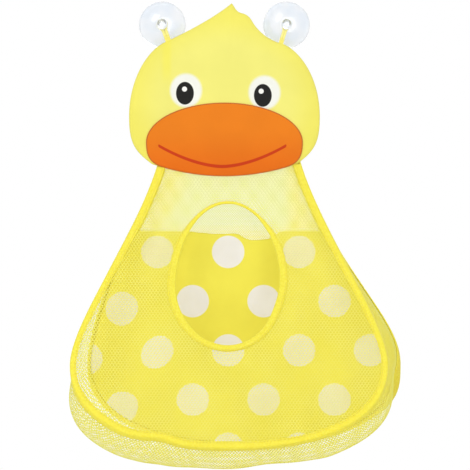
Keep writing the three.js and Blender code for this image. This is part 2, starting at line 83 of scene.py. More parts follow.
def cubic(a, b, c, d, n=64):
    a, b, c, d = (np.array(p, float) for p in (a, b, c, d))
    t = np.linspace(0, 1, n, endpoint=False)[:, None]
    return (1 - t) ** 3 * a + 3 * t * (1 - t) ** 2 * b + 3 * t * t * (1 - t) * c + t ** 3 * d


def lengths(points):
    step = np.linalg.norm(np.diff(points, axis=0), axis=1)
    return np.concatenate([[0], np.cumsum(step)])


def follow(at, run, values):
    """Values of a line at given lengths along it."""
    return np.stack([np.interp(at, run, column) for column in values.T], -1)


def resample(points, count, closed):
    """Evenly spaced points along a line; a closed line doesn't repeat its first point."""
    line = np.vstack([points, points[:1]]) if closed else points
    run = lengths(line)
    at = np.linspace(0, run[-1], count, endpoint=not closed)
    return follow(at, run, line)


def polar(outline, centre):
    """Distance from centre to a star-shaped outline, as a function of the direction."""
    d = np.asarray(outline) - centre
    angle = np.arctan2(d[:, 1], d[:, 0])
    order = np.argsort(angle)
    radius = np.hypot(d[:, 0], d[:, 1])
    return lambda theta: np.interp(theta, angle[order], radius[order], period=2 * math.pi)


def full_turn(count):
    return np.linspace(0, 2 * math.pi, count, endpoint=False)


def unit(v):
    return v / np.maximum(np.linalg.norm(v, axis=-1, keepdims=True), 1e-12)


def square(run, direction):
    """Unit direction made square to run."""
    along = np.sum(run * direction, axis=-1, keepdims=True)
    return unit(direction - run * along)


def smooth(t):
    t = np.clip(t, 0, 1)
    return t * t * (3 - 2 * t)


def hump(t, centre, width, power=2):
    """1 at centre and 0 far away; a larger power gives a flatter top."""
    return np.exp(-((t - centre) / width) ** power)


def everywhere(direction, points):
    return np.broadcast_to(np.array(direction, float), points.shape)


# Node materials


def operation(kind):
    return lambda self, other: self.g.math(kind, self, other)


class Val:
    """A shader value with arithmetic, one Math node for each operation."""

    __add__ = operation("ADD")
    __sub__ = operation("SUBTRACT")
    __mul__ = operation("MULTIPLY")
    __truediv__ = operation("DIVIDE")

    def __init__(self, graph, socket):
        self.g = graph
        self.s = socket


def rgb(r, g, b):
    """sRGB bytes to linear colour."""
    def one(c):
        c /= 255
        return c / 12.92 if c <= 0.04045 else ((c + 0.055) / 1.055) ** 2.4
    return (one(r), one(g), one(b), 1)


class Tree:
    """Nodes of a material or of the world, one of which is its shader."""

    def __init__(self, owner, shader):
        owner.use_nodes = True
        self.tree = owner.node_tree
        self.shader = self.tree.nodes[shader]

    def feed(self, socket, value):
        if isinstance(value, Val):
            self.tree.links.new(value.s, socket)
        elif hasattr(value, "is_output"):
            self.tree.links.new(value, socket)
        else:
            socket.default_value = value

    def set(self, node=None, **values):
        """Feed inputs of a node, or else of the shader, by name with _ for a space."""
        for name, value in values.items():
            self.feed((node or self.shader).inputs[name.replace("_", " ")], value)

    def new(self, kind, **values):
        node = self.tree.nodes.new("ShaderNode" + kind)
        self.set(node, **values)
        return node

    def math(self, kind, *values):
        node = self.new("Math")
        node.operation = kind
        for socket, value in zip(node.inputs, values):
            self.feed(socket, value)
        return Val(self, node.outputs[0])


class Graph(Tree):
    """A material under construction; x, y and z are the place on the object in millimetres."""

    def __init__(self, name):
        self.material = bpy.data.materials.new(name)
        super().__init__(self.material, "Principled BSDF")
        self.place = self.new("TexCoord").outputs["Object"]
        split = self.new("SeparateXYZ", Vector=self.place)
        self.x, self.y, self.z = (Val(self, s) * 1000 for s in split.outputs)

    def ramp(self, value, low, high):
        """0 below low, 1 above high, smooth between; low may lie above high."""
        turn = low > high
        node = self.new("MapRange", Value=value, From_Min=min(low, high), From_Max=max(low, high),
                        To_Min=1 if turn else 0, To_Max=0 if turn else 1)
        node.interpolation_type = "SMOOTHSTEP"
        return Val(self, node.outputs["Result"])

    def noise(self, scale, detail=2, rough=0.5):
        node = self.new("TexNoise", Vector=self.place, Scale=scale, Detail=detail, Roughness=rough)
        return Val(self, node.outputs["Fac"])

    def wave(self, value, rate):
        return self.math("SINE", value * rate) * 0.5 + 0.5

    def mix(self, share, a, b, kind="MIX"):
        node = self.new("Mix", Factor=share)
        node.data_type = "RGBA"
        node.blend_type = kind
        self.feed(node.inputs[6], a)
        self.feed(node.inputs[7], b)
        return node.outputs[2]

    def ellipse(self, middle, half):
        """1 at the rim of an ellipse, less inside it."""
        a = (self.x - middle[0]) / half[0]
        b = (self.z - middle[1]) / half[1]
        return self.math("SQRT", a * a + b * b)

    def weave(self, pitch):
        """Height of a plain weave seen from the front."""
        k = 2 * math.pi / pitch
        return self.math("SINE", self.x * k) * self.math("SINE", self.z * k)

    def bump(self, height, distance):
        node = self.new("Bump", Strength=1, Distance=distance * MM, Height=height)
        self.set(Normal=node.outputs[0])

    def colour(self, value):
        self.set(Base_Color=value)

    def rough(self, value):
        self.set(Roughness=value)


FULL = (1, 1, 1, 1)


def cloth_surface(g, base, shaded, pitch):
    """Colour variation, roughness and weave of woven cloth; shaded is its darkest share of the colour."""
    drift = g.noise(22, 3)
    fibre = g.noise(900, 2, 0.6)
    shade = g.mix(g.ramp(drift, 0.3, 0.7), shaded, FULL)
    g.colour(g.mix(1, base, shade, "MULTIPLY"))
    g.rough(fibre * 0.16 + 0.74)
    g.bump(g.weave(pitch) * 0.5 + fibre * 0.5, 0.12)
    g.set(Specular_IOR_Level=0.25, Sheen_Weight=0.12, Sheen_Roughness=0.5)


def head_material():
    g = Graph("lemon_cloth_printed_eyes")
    # Painted shade: towards its rim the head's cloth is painted a deeper yellow, for the shade of the padded
    # edge
    rim = g.ellipse((0, -74), (92, 84))
    body = g.mix(g.ramp(rim, 0.62, 1.02), rgb(245, 239, 126), rgb(245, 236, 104))
    front = g.ramp(g.y, -11.2, -11.8)
    # The left elastic is sewn in and shows through the cloth as a deeper yellow band
    band_x = -55.6
    strap = g.ramp(g.math("ABSOLUTE", g.x - band_x), 6.2, 1.6) * g.ramp(g.z, -64, -40)
    body = g.mix(strap * front * 0.55, body, rgb(249, 239, 86))
    # For each eye the middles of its white, its pupil and its glint
    left_eye = ((-37, -64), (-38, -66.7), (-38.4, -62.7))
    right_eye = ((38.6, -66), (37, -68.8), (35.4, -64.8))
    for white_at, pupil_at, glint_at in (left_eye, right_eye):
        white = g.ramp(g.ellipse(white_at, (15.6, 16.6)), 1.09, 0.86)
        pupil = g.ramp(g.ellipse(pupil_at, (8.6, 11)), 1.03, 0.97)
        glint = g.ramp(g.ellipse(glint_at, (2.4, 2.4)), 1.12, 0.9)
        body = g.mix(white * front, body, rgb(246, 247, 238))
        body = g.mix(pupil * front, body, rgb(25, 25, 23))
        body = g.mix(glint * front, body, rgb(250, 250, 246))
    cloth_surface(g, body, (0.955, 0.955, 0.94, 1), 0.8)
    return g.material


def beak_material():
    g = Graph("orange_cloth_printed_smile")
    # Painted shade: the beak is painted darker towards its lower edge
    body = g.mix(g.ramp(g.z, -146, -96), rgb(233, 110, 8), rgb(239, 130, 20))
    # The smile is a curve that rises from its middle to both ends, drawn a little thinner there
    middle_x, middle_z, half_length, power = -2, -137.2, 60.5, 1.75
    dx = g.math("ABSOLUTE", g.x - middle_x)
    line = g.math("POWER", dx, power) * 0.0149 + middle_z
    slope = g.math("POWER", dx, power - 1) * 0.026
    off = g.math("ABSOLUTE", g.z - line) / g.math("SQRT", slope * slope + 1)
    past = g.math("MAXIMUM", dx - half_length, 0.0)
    reach = g.math("SQRT", off * off + past * past)
    smile = g.ramp(reach + dx * 0.005, 1.85, 1.35)
    body = g.mix(smile, body, rgb(204, 58, 9))
    cloth_surface(g, body, (0.95, 0.94, 0.92, 1), 0.8)
    return g.material


def dot_material():
    g = Graph("yellow_cloth_white_dots")
    half_x, step_z, radius, first_x, first_z = 34.2, 47.5, 15.6, 3.6, -219.5
    # Towards the left edge the cloth hangs a little lower below the first row of dots
    drop = g.ramp(g.x, -50, -100) * g.ramp(g.z, -232, -267) * 8
    level_z = g.z - first_z + drop
    row = g.math("ROUND", level_z / step_z)
    odd = g.math("ABSOLUTE", g.math("MODULO", row, 2.0))
    across = (g.x - first_x - odd * half_x) / (2 * half_x)
    du = (across - g.math("ROUND", across)) * (2 * half_x)
    dv = level_z - row * step_z
    away = g.math("SQRT", du * du + dv * dv)
    dot = g.ramp(away, radius + 0.5, radius - 0.5)
    body = g.mix(dot, rgb(243, 233, 85), rgb(241, 239, 240))
    cloth_surface(g, body, (0.94, 0.93, 0.9, 1), 0.9)
    return g.material


def tape_material():
    g = Graph("bright_binding_tape")
    rib = g.wave(g.x + g.z, 5.2)
    fibre = g.noise(700, 3, 0.6)
    g.colour(g.mix(g.ramp(fibre, 0.3, 0.75), rgb(244, 226, 62), rgb(253, 240, 92)))
    g.rough(fibre * 0.2 + 0.6)
    g.bump(rib * 0.35 + fibre * 0.6, 0.12)
    g.set(Specular_IOR_Level=0.3, Sheen_Weight=0.1, Sheen_Roughness=0.5)
    g.set(Subsurface_Weight=0.5, Subsurface_Scale=0.002, Subsurface_Radius=(1.0, 0.9, 0.4))
    return g.material


def net_material(name, dark, light, middle):
    """Thin knitted thread that light passes through; middle is the colour of a painted highlight, a pale
    glare in the middle below the chin.
    """
    g = Graph(name)
    fibre = g.noise(1500, 2, 0.6)
    drift = g.noise(35, 2)
    grain = g.ramp(fibre * 0.6 + drift * 0.4, 0.3, 0.7)
    # The paler middle is a painted highlight, a pale glare; it has a slanted left edge and an upright right
    # edge, both uneven
    left = g.ramp(g.x - g.z * 0.47 - 41 + drift * 16, -14, 14)
    right = g.ramp(g.x + drift * 10, 74, 58)
    pale = left * right * g.ramp(g.z, -207, -190)
    g.colour(g.mix(pale * 0.85, g.mix(grain, dark, light), middle))
    g.rough(fibre * 0.2 + 0.55)
    g.bump(fibre, 0.1)
    g.set(Specular_IOR_Level=0.3)
    g.set(Subsurface_Weight=0.6, Subsurface_Scale=0.0012, Subsurface_Radius=(1.0, 0.9, 0.5))
    return g.material


def elastic_material():
    g = Graph("pale_elastic")
    rib = g.wave(g.y, 7.0)
    weft = g.wave(g.z, 9.0)
    g.colour(g.mix(rib, rgb(248, 234, 108), rgb(254, 246, 150)))
    g.rough(weft * 0.15 + 0.62)
    g.bump(rib * 0.7 + weft * 0.3, 0.15)
    g.set(Sheen_Weight=0.1)
    return g.material


def thread_material(name, dark, light):
    g = Graph(name)
    twist = g.wave(g.x + g.y + g.z, 11.0)
    g.colour(g.mix(twist, dark, light))
    g.rough(twist * 0.15 + 0.5)
    g.bump(twist, 0.08)
    return g.material


def cup_material():
    g = Graph("clear_soft_plastic")
    haze = g.noise(60, 3)
    g.colour(g.mix(g.ramp(haze, 0.35, 0.7), rgb(240, 246, 253), rgb(250, 252, 255)))
    g.rough(haze * 0.12 + 0.06)
    g.bump(haze, 0.25)
    g.set(Transmission_Weight=0.8, IOR=1.45, Coat_Weight=0.3)
    return g.material


MATERIALS = {
    "head": head_material(),
    "beak": beak_material(),
    "edging": thread_material("brown_orange_edging", rgb(188, 92, 14), rgb(214, 112, 24)),
    "dots": dot_material(),
    "tape": tape_material(),
    # For each net the last colour is that of its painted highlight in the middle below the chin
    "net": net_material("yellow_net_thread", rgb(246, 235, 86), rgb(250, 245, 124), rgb(238, 243, 156)),
    "pale_net": net_material("pale_net_thread", rgb(236, 224, 58), rgb(241, 230, 82), rgb(222, 232, 140)),
    "thread": thread_material("yellow_sewing_thread", rgb(226, 202, 50), rgb(248, 232, 110)),
    "elastic": elastic_material(),
    "cup": cup_material(),
}

# Mesh helpers


def added(name, data):
    """A new object in the scene."""
    obj = bpy.data.objects.new(name, data)
    scene.collection.objects.link(obj)
    return obj


def piece(name, points, faces, material):
    mesh = bpy.data.meshes.new(name)
    mesh.from_pydata((np.asarray(points) * MM).tolist(), [], faces)
    mesh.validate()
    mesh.polygons.foreach_set("use_smooth", [True] * len(mesh.polygons))
    mesh.materials.append(MATERIALS[material])
    mesh.update()
    return added(name, mesh)


def grid_faces(rows, columns, wrap_rows=False, wrap_columns=True):
    """Quads between neighbouring rows of points."""
    i = np.arange(rows if wrap_rows else rows - 1)
    k = np.arange(columns if wrap_columns else columns - 1)
    i, k = (a.ravel() for a in np.meshgrid(i, k, indexing="ij"))
    j, m = (i + 1) % rows, (k + 1) % columns
    return np.stack([i * columns + k, j * columns + k, j * columns + m, i * columns + m], 1).tolist()


def swept(name, profiles, material, closed):
    """Band from closed profiles, one after the other; open bands get end caps."""
    stations, around = profiles.shape[:2]
    faces = grid_faces(stations, around, wrap_rows=closed)
    if not closed:
        faces.append(list(range(around)))
        faces.append([(stations - 1) * around + k for k in reversed(range(around))])
    return piece(name, profiles.reshape(-1, 3), faces, material)


def shell(name, outline, centre, rings, material):
    """Closed body from scaled copies of an outline, from the middle of the front to the middle of the back.
    rings holds pairs of a share and a function that gives the depth at x, z."""
    def middle(depth):
        return [centre[0], float(depth(centre[:1], centre[1:])[0]), centre[1]]
    points = [middle(rings[0][1])]
    n = len(outline)
    for share, depth in rings[1:-1]:
        at = centre + share * (outline - centre)
        points.extend(np.stack([at[:, 0], depth(*at.T), at[:, 1]], 1).tolist())
    points.append(middle(rings[-1][1]))
    body = [[v + 1 for v in f] for f in grid_faces(len(rings) - 2, n)]
    last = len(points) - 1
    low = 1 + (len(rings) - 3) * n
    first = [[0, 1 + k, 1 + (k + 1) % n] for k in range(n)]
    tail = [[last, low + (k + 1) % n, low + k] for k in range(n)]
    return piece(name, points, first + body + tail, material)


def tube(name, path, radius, material, sides=8):
    ahead = unit(np.roll(path, -1, 0) - np.roll(path, 1, 0))
    side = square(ahead, everywhere(FORWARD, ahead))
    other = np.cross(ahead, side)
    turn = full_turn(sides)
    ring = side[:, None] * np.cos(turn)[None, :, None] + other[:, None] * np.sin(turn)[None, :, None]
    return swept(name, path[:, None] + radius * ring, material, True)


STITCH_PITCH = 3.2


def stitches(name, path, up, closed):
    """A row of sewing stitches along a path: short rounded threads, half sunk in the cloth."""
    pitch, long, radius, sides = STITCH_PITCH, 2.1, 0.32, 6
    line = np.vstack([path, path[:1]]) if closed else path
    ups = np.vstack([up, up[:1]]) if closed else up
    run = lengths(line)
    at = np.arange(pitch, run[-1] - pitch / 2, pitch)
    centre = follow(at, run, line)
    ahead = unit(follow(at + 0.5, run, line) - follow(at - 0.5, run, line))
    rise = square(ahead, follow(at, run, ups))
    side = np.cross(ahead, rise)
    along = np.array([-0.5, -0.38, 0.0, 0.38, 0.5]) * long
    thick = np.array([0.25, 0.8, 1.0, 0.8, 0.25]) * radius
    turn = full_turn(sides)
    points = centre[:, None, None] + ahead[:, None, None] * along[None, :, None, None]
    sink = (np.array([-0.35, 0, 0.25, 0, -0.35]) * radius)[None, :, None, None] * rise[:, None, None]
    ring = rise[:, None, None] * np.cos(turn)[None, None, :, None]
    ring = ring + side[:, None, None] * np.sin(turn)[None, None, :, None]
    points = points + sink + ring * thick[None, :, None, None]
    base = np.array(grid_faces(len(along), sides))
    each = len(along) * sides
    faces = [face for k in range(len(at)) for face in (base + each * k).tolist()]
    for k in range(len(at)):
        faces.append([each * k + m for m in range(sides)])
        faces.append([each * (k + 1) - sides + m for m in reversed(range(sides))])
    return piece(name, points.reshape(-1, 3), faces, "thread")


# How far the shading of a net thread turns towards its meshes
ROUND = 0.45


def hex_net(name, surface, keep, low, high, material, pitch=3.1, row=2.2, upright=1.15, wide=0.7, thick=0.32):
    """Knitted net with six-sided meshes: threads with a four-sided section that join at every knot.
    surface maps flat u, v to a point; keep says which meshes lie inside the panel."""
    h2 = upright / 2
    h1 = row - h2
    nu = int((high[0] - low[0]) / pitch) + 3
    nv = int((high[1] - low[1]) / row) + 3
    i, j = np.meshgrid(np.arange(-1, nu), np.arange(-1, nv), indexing="ij")
    u = low[0] + (i + 0.5 * (j % 2)) * pitch
    v = low[1] + j * row
    kept = keep(u, v)
    kept[[0, -1], :] = False
    kept[:, [0, -1]] = False
    count = u.size
    knots = np.concatenate([np.stack([u, v + h], -1).reshape(-1, 2) for h in (h1, -h1)])
    index = np.arange(count).reshape(u.shape)
    ci, cj = np.nonzero(kept)
    shift = j[ci, cj] % 2
    right, left = ci + shift, ci + shift - 1
    corners = np.stack([
        index[ci, cj], index[right, cj + 1] + count, index[right, cj - 1],
        index[ci, cj] + count, index[left, cj - 1], index[left, cj + 1] + count], 1)
    # Hole of one mesh: its six sides moved in by half a thread
    half = pitch / 2
    shape = np.array([[0, h1], [half, h2], [half, -h2], [0, -h1], [-half, -h2], [-half, h2]])
    inner = []
    for k in range(6):
        a = unit(shape[k] - shape[k - 1])
        b = unit(shape[(k + 1) % 6] - shape[k])
        na, nb = np.array([a[1], -a[0]]), np.array([b[1], -b[0]])
        inner.append(shape[k] + (na + nb) * wide / 2 / (1 + na @ nb))
    inner = np.array(inner)
    holes = np.stack([u[ci, cj], v[ci, cj]], -1)[:, None] + inner[None]

    def lifted(flat, step=0.4):
        a, b = flat[:, 0], flat[:, 1]
        du = surface(a + step, b) - surface(a - step, b)
        dv = surface(a, b + step) - surface(a, b - step)
        return surface(a, b), unit(np.cross(du, dv))
    used = np.unique(corners)
    place = np.full(2 * count, -1)
    place[used] = np.arange(len(used))
    corners = place[corners]
    n = len(used)
    knot, knot_up = lifted(knots[used])
    rim_point, rim_up = lifted(holes.reshape(-1, 2))
    points = np.concatenate([knot + knot_up * thick / 2, knot - knot_up * thick / 2, rim_point])
    centre = rim_point.reshape(-1, 6, 3).mean(1, keepdims=True)
    inward = unit(centre - rim_point.reshape(-1, 6, 3)).reshape(-1, 3)
    up = np.concatenate([knot_up, -knot_up, unit(rim_up + ROUND * inward)])
    down = np.concatenate([knot_up, -knot_up, unit(ROUND * inward - rim_up)])
    hole = 2 * n + np.arange(len(ci) * 6).reshape(-1, 6)
    after = np.roll(np.arange(6), -1)
    front = np.stack([corners, hole, hole[:, after], corners[:, after]], -1).reshape(-1, 4)
    back = np.stack([corners + n, corners[:, after] + n, hole[:, after], hole], -1).reshape(-1, 4)
    edge = np.stack([corners, corners[:, after]], -1).reshape(-1, 2)
    order = np.sort(edge, 1)
    _, where, uses = np.unique(order, axis=0, return_inverse=True, return_counts=True)
    rim = edge[uses[where.ravel()] == 1]
    sides = np.stack([rim[:, 0], rim[:, 1], rim[:, 1] + n, rim[:, 0] + n], -1)
    obj = piece(name, points, np.concatenate([front, back, sides]).tolist(), material)
    a, b, c = (points[sides[:, k]] for k in range(3))
    flank = np.repeat(unit(np.cross(b - a, c - b)), 4, axis=0)
    obj.data.normals_split_custom_set(np.concatenate([
        up[front.ravel()], down[back.ravel()], flank]).tolist())
    return obj


# Head

SEAM_Y = -11.1
HEAD_CENTRE = np.array([0.0, -80.0])
tip = (7, 20.3)
head_line = np.vstack([
    quad(tip, (-14, 3), (-57, -17)),
    cubic((-57, -17), (-74.5, -24.875), (-92, -53), (-92, -89)),
    cubic((-92, -89), (-92, -115), (-86.5, -122.425), (-70, -134.8)),
    quad((-70, -134.8), (0, -158.4), (70, -134.8)),
    cubic((70, -134.8), (86.5, -122.425), (92, -115), (92, -89)),
    cubic((92, -89), (92, -53), (74.5, -26.875), (57, -19)),
    cubic((57, -19), (42.34, -15.55), (32.3, -6.6), (27, 2.6)),
    quad((27, 2.6), (23.6, 9.1), (17.6, 10.6)),
    quad((17.6, 10.6), (13.0, 11.3), (10.4, 15.3)),
    quad((10.4, 15.3), (8.7, 18.5), tip),
])
head_outline = resample(head_line, 360, True)
head_reach = polar(head_line, HEAD_CENTRE)


def share_of(x, z, centre, reach):
    """Distance from centre, at most 1, which is the outline, and direction."""
    dx, dz = x - centre[0], z - centre[1]
    theta = np.arctan2(dz, dx)
    return np.minimum(np.hypot(dx, dz) / reach(theta), 1), theta


def head_share(x, z):
    return share_of(x, z, HEAD_CENTRE, head_reach)


def rounding(s, start=0.955):
    t = np.clip((s - start) / (1 - start), 0, 1)
    return np.sqrt(1 - t * t)


def sewn_front(x, z):
    """Front of the head before it is filled."""
    s = head_share(x, z)[0]
    cloth, crown, lip = 0.35, 5.0, 1.6
    return SEAM_Y - cloth - crown * (1 - s ** 3) - lip * rounding(s)


def sewn_back(x, z):
    s = head_share(x, z)[0]
    cloth, lip, crown = 0.3, 0.75, 0.2
    return SEAM_Y + cloth + lip * rounding(s) + crown * (1 - s ** 4)


def places(mesh):
    points = np.empty(3 * len(mesh.vertices))
    mesh.vertices.foreach_get("co", points)
    return points.reshape(-1, 3) / MM


def filled(obj, pinned, pressure, frames):
    """Points of a padded piece after a cloth simulation that fills it while its seam is held."""
    group = obj.vertex_groups.new(name="seam")
    group.add(pinned, 1.0, "REPLACE")
    modifier = obj.modifiers.new("fill", "CLOTH")
    cloth = modifier.settings
    cloth.quality = 6
    cloth.mass = 0.15
    cloth.tension_stiffness = cloth.compression_stiffness = 5
    cloth.shear_stiffness = 2.5
    cloth.bending_stiffness = 0.5
    cloth.vertex_group_mass = group.name
    cloth.use_pressure = True
    cloth.uniform_pressure_force = pressure
    cloth.effector_weights.gravity = 0
    modifier.collision_settings.use_collision = False
    for number in range(1, frames + 1):
        scene.frame_set(number)
    shaped = obj.evaluated_get(bpy.context.evaluated_depsgraph_get())
    points = places(shaped.data)
    scene.frame_set(1)
    return points


FILL_SHARES = np.array([0, 0.12, 0.24, 0.36, 0.47, 0.57, 0.66, 0.74, 0.81, 0.87, 0.92, 0.96, 1.0])
FILL_CAP = 1.4
trial_outline = head_outline[::4]
trial_rings = [(s, sewn_front) for s in FILL_SHARES] + [(s, sewn_back) for s in FILL_SHARES[::-1]]
trial = shell("head_trial", trial_outline, HEAD_CENTRE, trial_rings, "head")
around, ring_count = len(trial_outline), len(FILL_SHARES)
seam_rings = range(ring_count - 2, ring_count + 2)
seam_points = [1 + (r - 1) * around + k for r in seam_rings for k in range(around)]
flat_points = places(trial.data)
push = (filled(trial, seam_points, pressure=12.0, frames=20) - flat_points)[:, 1]
push = np.clip(push, -FILL_CAP, FILL_CAP)
bpy.data.meshes.remove(trial.data)


def push_field(values):
    """Smooth function of share and direction from one push per ring and outline point."""
    angle = np.arctan2(*(trial_outline - HEAD_CENTRE).T[::-1])
    order = np.argsort(angle)
    angle, values = angle[order], values[:, order]
    share_steps, turn_steps, smoothings = 80, 360, 6
    turns = np.linspace(-math.pi, math.pi, turn_steps + 1)
    shares = np.linspace(0, 1, share_steps + 1)
    table = np.stack([np.interp(turns, angle, row, period=2 * math.pi) for row in values])
    table = np.stack([np.interp(shares, FILL_SHARES, column) for column in table.T], 1)
    for _ in range(smoothings):
        ring = table[:, :-1]
        ring = (np.roll(ring, 1, 1) + 2 * ring + np.roll(ring, -1, 1)) / 4
        table = np.concatenate([ring, ring[:, :1]], 1)
        table[1:-1] = (table[:-2] + 2 * table[1:-1] + table[2:]) / 4
        table[0] = table[1].mean()

    def field(s, theta):
        a = np.clip(s, 0, 1) * share_steps
        b = (theta + math.pi) / (2 * math.pi) * turn_steps
        i = np.minimum(a.astype(int), share_steps - 1)
        j = np.minimum(b.astype(int), turn_steps - 1)
        u, v = a - i, b - j
        near = table[i, j] * (1 - v) + table[i, j + 1] * v
        far = table[i + 1, j] * (1 - v) + table[i + 1, j + 1] * v
        return near * (1 - u) + far * u
    return field


front_push = push[1:1 + (ring_count - 1) * around].reshape(ring_count - 1, around)
front_push = push_field(np.vstack([np.full(around, push[0]), front_push]))
back_push = push[1 + (ring_count - 1) * around:-1].reshape(ring_count - 1, around)[::-1]
back_push = push_field(np.vstack([np.full(around, push[-1]), back_push]))


def pucker(s, theta):
    """Small gathers along the seam."""
    return hump(s, 1, 0.05) * np.sin(theta * 64 + 2 * np.sin(theta * 5)) * (1 - s ** 20)


def head_front(x, z):
    s, theta = head_share(x, z)
    soft = 0.3 * np.sin(x / 23 + 1.1) * np.cos(z / 31) + 0.2 * np.sin((x + z) / 17 + 0.4)
    return sewn_front(x, z) + front_push(s, theta) + soft * (1 - s ** 6) + 0.22 * pucker(s, theta)


def head_back(x, z):
    s, theta = head_share(x, z)
    return sewn_back(x, z) + back_push(s, theta) + 0.15 * pucker(s, theta)


def seam_level(x, z):
    return np.full_like(x, SEAM_Y)


front_shares = np.concatenate([np.linspace(0, 0.9, 31), np.linspace(0.915, 0.985, 8), [0.992, 0.997, 1.0]])
back_shares = np.concatenate([[1.0, 0.997, 0.99], np.linspace(0.975, 0.9, 6), np.linspace(0.85, 0, 12)])
head_rings = [(s, head_front) for s in front_shares]
head_rings += [(0.9935, seam_level)]
head_rings += [(s, head_back) for s in back_shares]
head = shell("head_cushion", head_outline, HEAD_CENTRE, head_rings, "head")
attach(head, "head")
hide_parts("head_front_panel", "head_back_panel", "head_padding")

# Beak

CHIN_Z, CHIN_CURVE = -146.6, 11.8 / 70 ** 2


def chin_z(x):
    """Height of the head's lower edge."""
    return CHIN_Z + CHIN_CURVE * x * x


# Half width, height of the round top, half width of the foot and its gap to the head's edge
BEAK_W, BEAK_H, FOOT_W, FOOT_GAP = 75.4, 37.8, 58, 0.4
BEAK_Z = -114
BEAK_CENTRE = np.array([0.0, BEAK_Z])
turn = np.linspace(0, math.pi, 160, endpoint=False)
corner_z = chin_z(FOOT_W) + FOOT_GAP
bend = 13.05
bend_x, bend_z = FOOT_W + bend, corner_z + bend * (2 * FOOT_W) * CHIN_CURVE
drop_z = BEAK_Z + 0.6 * (corner_z - BEAK_Z)
foot_z = 2 * (chin_z(0) + FOOT_GAP) - corner_z
beak_line = np.vstack([
    np.stack([BEAK_W * np.cos(turn), BEAK_Z + BEAK_H * np.sin(turn)], 1),
    cubic((-BEAK_W, BEAK_Z), (-BEAK_W, drop_z), (-bend_x, bend_z), (-FOOT_W, corner_z)),
    quad((-FOOT_W, corner_z), (0, foot_z), (FOOT_W, corner_z)),
    cubic((FOOT_W, corner_z), (bend_x, bend_z), (BEAK_W, drop_z), (BEAK_W, BEAK_Z)),
])
beak_outline = resample(beak_line, 260, True)
beak_reach = polar(beak_line, BEAK_CENTRE)


def beak_face(x, z):
    s = share_of(x, z, BEAK_CENTRE, beak_reach)[0]
    cloth, lip, crown = 0.45, 0.8, 0.9
    return head_front(x, z) - cloth - lip * rounding(s, 0.97) - crown * (1 - s * s)


def beak_base(x, z):
    return head_front(x, z) - 0.25


beak_shares = np.concatenate([np.linspace(0, 0.94, 26), [0.96, 0.975, 0.985, 0.993, 1.0]])
beak_rings = [(s, beak_face) for s in beak_shares]
beak_rings += [(s, beak_base) for s in (0.995, 0.9, 0.7, 0.5, 0.25, 0)]
beak = shell("beak_applique", beak_outline, BEAK_CENTRE, beak_rings, "beak")
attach(beak, "head")
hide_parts("beak_patch")
EDGING_R, EDGING_RISE, EDGING_SHARE = 0.62, 0.75, 0.994
edge_x, edge_z = (BEAK_CENTRE + EDGING_SHARE * (resample(beak_line, 420, True) - BEAK_CENTRE)).T
edge_path = np.stack([edge_x, head_front(edge_x, edge_z) - EDGING_RISE, edge_z], 1)
edging = tube("beak_edging", edge_path, EDGING_R, "edging")
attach(edging, "head")

# Bag: seams and panels

BAG_X = 4.4
BACK_Y = -10.35
NECK_W = 68.0
HIP_W, HIP_Z = 149.5, -327.0
BOTTOM_Z = -403.5
CLOTH_TOP = -203.0
# Depth of the bag at the neck, and how much deeper it is at the bottom
NECK_DEPTH, FRONT_FALL = 1.5, 86.5
FULL_DEPTH = NECK_DEPTH + FRONT_FALL
# Middle of the hand opening, its half width and its heights above and below the middle
MOUTH = np.array([BAG_X, -247.0])
MOUTH_W, MOUTH_ABOVE, MOUTH_BELOW = 49.8, 73.2, 61.4


def half_seam(side):
    neck_z = chin_z(side * NECK_W + BAG_X) - 0.9
    shoulder, flank = (NECK_W + 20, neck_z - 68), (HIP_W, HIP_Z + 39)
    hip, sole = (HIP_W, HIP_Z - 53), (83, BOTTOM_Z)
    line = np.vstack([
        cubic((NECK_W, neck_z), shoulder, flank, (HIP_W, HIP_Z), 120),
        cubic((HIP_W, HIP_Z), hip, sole, (0, BOTTOM_Z), 120),
        [[0, BOTTOM_Z]],
    ])
    return np.stack([side * line[:, 0] + BAG_X, line[:, 1]], 1)


seam = resample(np.vstack([half_seam(-1), half_seam(1)[::-1][1:]]), 420, False)


def neck_edge_z(x):
    return chin_z(np.clip(x, BAG_X - NECK_W, BAG_X + NECK_W)) - 0.4


def front_y(x, z):
    """Depth of the slanted front before its net bulges."""
    edge = neck_edge_z(x)
    fall = np.maximum(0, edge - z) / (edge - BOTTOM_Z)
    return BACK_Y - NECK_DEPTH - FRONT_FALL * fall


tangent = unit(np.gradient(seam, axis=0))
out = np.stack([tangent[:, 1], np.zeros(len(seam)), -tangent[:, 0]], 1)
# The front seam rides up a little near its lower left corner
front_line = seam.copy()
seam_x, seam_z = seam.T
front_line[:, 1] += 3.6 * hump(seam_x, -60, 15) * smooth(-2 * out[:, 2])
front_line[:, 1] -= 1.2 * hump(seam_x, -98, 12) * smooth(-2 * out[:, 2])
front_seam = np.stack([front_line[:, 0], front_y(*front_line.T), front_line[:, 1]], 1)
# Below the cloth's upper edge the filled bag leans to the right at the back
lean = 16 * smooth((CLOTH_TOP - seam_z) / (CLOTH_TOP - HIP_Z))
# At the right hip the bound edge of the back wall stands out as a fin
right = seam_x > BAG_X
fin = 6.4 * hump(seam_z, -349, 25) * right
hip = 6.0 * hump(seam_z, -341, 26) * right
back_seam = np.stack([seam_x + lean - hip, np.full(len(seam), BACK_Y), seam_z], 1)
depth = BACK_Y - front_seam[:, 1]
down = -out[:, 2]
# The gusset swells at the sides, sags at the bottom and a little less in the very middle of it
side_swell, bottom_swell, middle_less = 4, 22.5, 4.5
swell = side_swell + bottom_swell * smooth(down / 0.9) - middle_less * smooth((down - 0.96) / 0.04)
bulge = depth / FULL_DEPTH * swell - 0.75 * lean * out[:, 0] * np.maximum(down, 0)
# The sag of the bottom is uneven: fuller to the left of the middle, tighter to the right of it
uneven = 3.0 * hump(seam_x, -56, 15) - 2.6 * hump(seam_x, 31, 20)
bulge = bulge + uneven * smooth(3 * down - 2)

